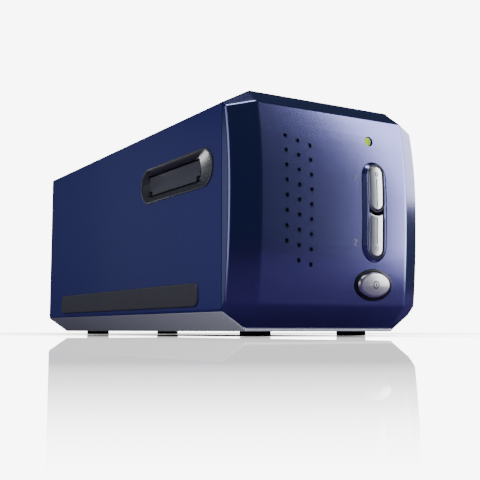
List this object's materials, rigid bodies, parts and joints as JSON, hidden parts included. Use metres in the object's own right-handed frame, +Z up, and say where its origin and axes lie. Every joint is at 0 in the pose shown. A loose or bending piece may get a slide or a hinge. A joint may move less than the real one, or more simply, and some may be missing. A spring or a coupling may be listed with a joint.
{
  "type": "film negative scanner",
  "caption": "Long upright box with faceted front, three push buttons, a sprung dust door over a film slot in each side, and a belt-driven lamp and lens carriage inside.",
  "frame": {"origin": "on the ground below the middle of the whole outline, under the feet", "axes": "+Z up, -Y towards the front fascia, +X to the right as seen from the front"},
  "size_m": [0.122, 0.272, 0.1225],
  "materials": {
    "cover": "satin metallic paint over moulded plastic",
    "fascia": "satin metallic paint over moulded plastic",
    "silver": "satin silver paint over moulded plastic",
    "button_silver": "satin silver plastic",
    "dark_ring": "gloss",
    "gunmetal": "satin",
    "strip_grey": "fine grain",
    "foot_rubber": "matte",
    "screw_steel": "zinc plated",
    "spring_steel": "plain",
    "green_lens": "clear tinted",
    "white_plastic": "clear moulding",
    "board_green": "solder mask",
    "black_plastic": "moulded",
    "white_diffuser": "milk white",
    "lens_glass": "coated",
    "mirror_glass": "front silvered",
    "belt_rubber": "fine teeth",
    "bright_steel": "ground",
    "gear_white": "acetal",
    "pulley_metal": "turned",
    "brass": "turned",
    "motor_metal": "pressed",
    "ribbon_grey": "flat"
  },
  "bodies": {
    "case": {"top_cover": "cover", "base_tray": "silver", "rubber_feet": "foot_rubber", "case_screws": "screw_steel", "left_side_strip": "strip_grey", "right_side_strip": "strip_grey", "left_slot_bezel": "gunmetal", "right_slot_bezel": "gunmetal", "left_door_springs": "spring_steel", "right_door_springs": "spring_steel", "rear_panel": "silver", "front_fascia": "fascia", "button_plinth": "fascia", "power_ring": "dark_ring", "status_lens": "green_lens", "status_led": "white_plastic", "front_board": "board_green", "button_switches": "black_plastic", "chassis": "black_plastic", "guide_rods": "bright_steel", "rod_clips": "screw_steel", "lower_film_guide": "black_plastic", "upper_film_guide": "black_plastic", "timing_belt": "belt_rubber", "pulley_axles": "bright_steel", "stepper_motor": "motor_metal", "motor_bracket": "motor_metal", "home_sensor": "black_plastic", "main_board": "board_green", "main_board_parts": "black_plastic", "usb_socket": "screw_steel", "power_jack": "black_plastic", "ribbon_connectors": "white_plastic", "ribbon_cable": "ribbon_grey", "board_screws": "screw_steel"},
    "upper_button": {"upper_scan_button": "button_silver", "upper_switch_plunger": "black_plastic"},
    "lower_button": {"lower_scan_button": "button_silver", "lower_switch_plunger": "black_plastic"},
    "power_button": {"power_button": "button_silver", "power_switch_plunger": "black_plastic"},
    "left_door": {"left_dust_door": "gunmetal"},
    "right_door": {"right_dust_door": "gunmetal"},
    "carriage": {"scan_carriage": "black_plastic", "lamp_board": "board_green", "lamp_leds": "white_plastic", "lamp_diffuser": "white_diffuser", "mirror": "mirror_glass", "mirror_holder": "black_plastic", "lens_barrel": "black_plastic", "lens_elements": "lens_glass", "lens_clamp": "black_plastic", "sensor_board": "board_green", "image_sensor": "black_plastic", "belt_clamp": "black_plastic"},
    "drive_wheel": {"drive_pulley": "pulley_metal", "reduction_gear": "gear_white"},
    "idler_wheel": {"idler_pulley": "pulley_metal"},
    "pinion": {"motor_pinion": "brass"}
  },
  "joints": [
    {"name": "upper_button_press", "type": "slide", "parent": "case", "child": "upper_button", "axis": [0, 1, 0], "range_m": [0, 0.001], "stiffness_N_per_m": 800},
    {"name": "lower_button_press", "type": "slide", "parent": "case", "child": "lower_button", "axis": [0, 1, 0], "range_m": [0, 0.001], "stiffness_N_per_m": 800},
    {"name": "power_button_press", "type": "slide", "parent": "case", "child": "power_button", "axis": [0, 1, 0], "range_m": [0, 0.001], "stiffness_N_per_m": 800},
    {"name": "left_door_swing", "type": "hinge", "parent": "case", "child": "left_door", "pos_m": [-0.0572, -0.0634, 0.0804], "axis": [0, 1, 0], "range_deg": [0, 90], "stiffness_Nm_per_rad": 0.002, "springref_deg": -22.92, "deforming": ["left_door_springs"]},
    {"name": "right_door_swing", "type": "hinge", "parent": "case", "child": "right_door", "pos_m": [0.0572, -0.0634, 0.0804], "axis": [0, -1, 0], "range_deg": [0, 90], "stiffness_Nm_per_rad": 0.002, "springref_deg": -22.92, "deforming": ["right_door_springs"]},
    {"name": "carriage_slide", "type": "slide", "parent": "case", "child": "carriage", "axis": [0, 1, 0], "range_m": [-0.014, 0.014]},
    {"name": "drive_wheel_turn", "type": "hinge", "parent": "case", "child": "drive_wheel", "pos_m": [0.0376, 0.095, 0.0505], "axis": [0, 0, 1], "range_deg": [-160, 160]},
    {"name": "idler_wheel_turn", "type": "hinge", "parent": "case", "child": "idler_wheel", "pos_m": [0.0376, -0.095, 0.0569], "axis": [0, 0, 1], "range_deg": [-160, 160]},
    {"name": "pinion_turn", "type": "hinge", "parent": "case", "child": "pinion", "pos_m": [0.0376, 0.11, 0.0505], "axis": [0, 0, 1], "range_deg": [-440, 440]}
  ],
  "couplings": [
    {"joint": "drive_wheel_turn", "follows": "carriage_slide", "rad_per_m": -198.02},
    {"joint": "idler_wheel_turn", "follows": "carriage_slide", "rad_per_m": -198.02},
    {"joint": "pinion_turn", "follows": "carriage_slide", "rad_per_m": 544.55}
  ]
}
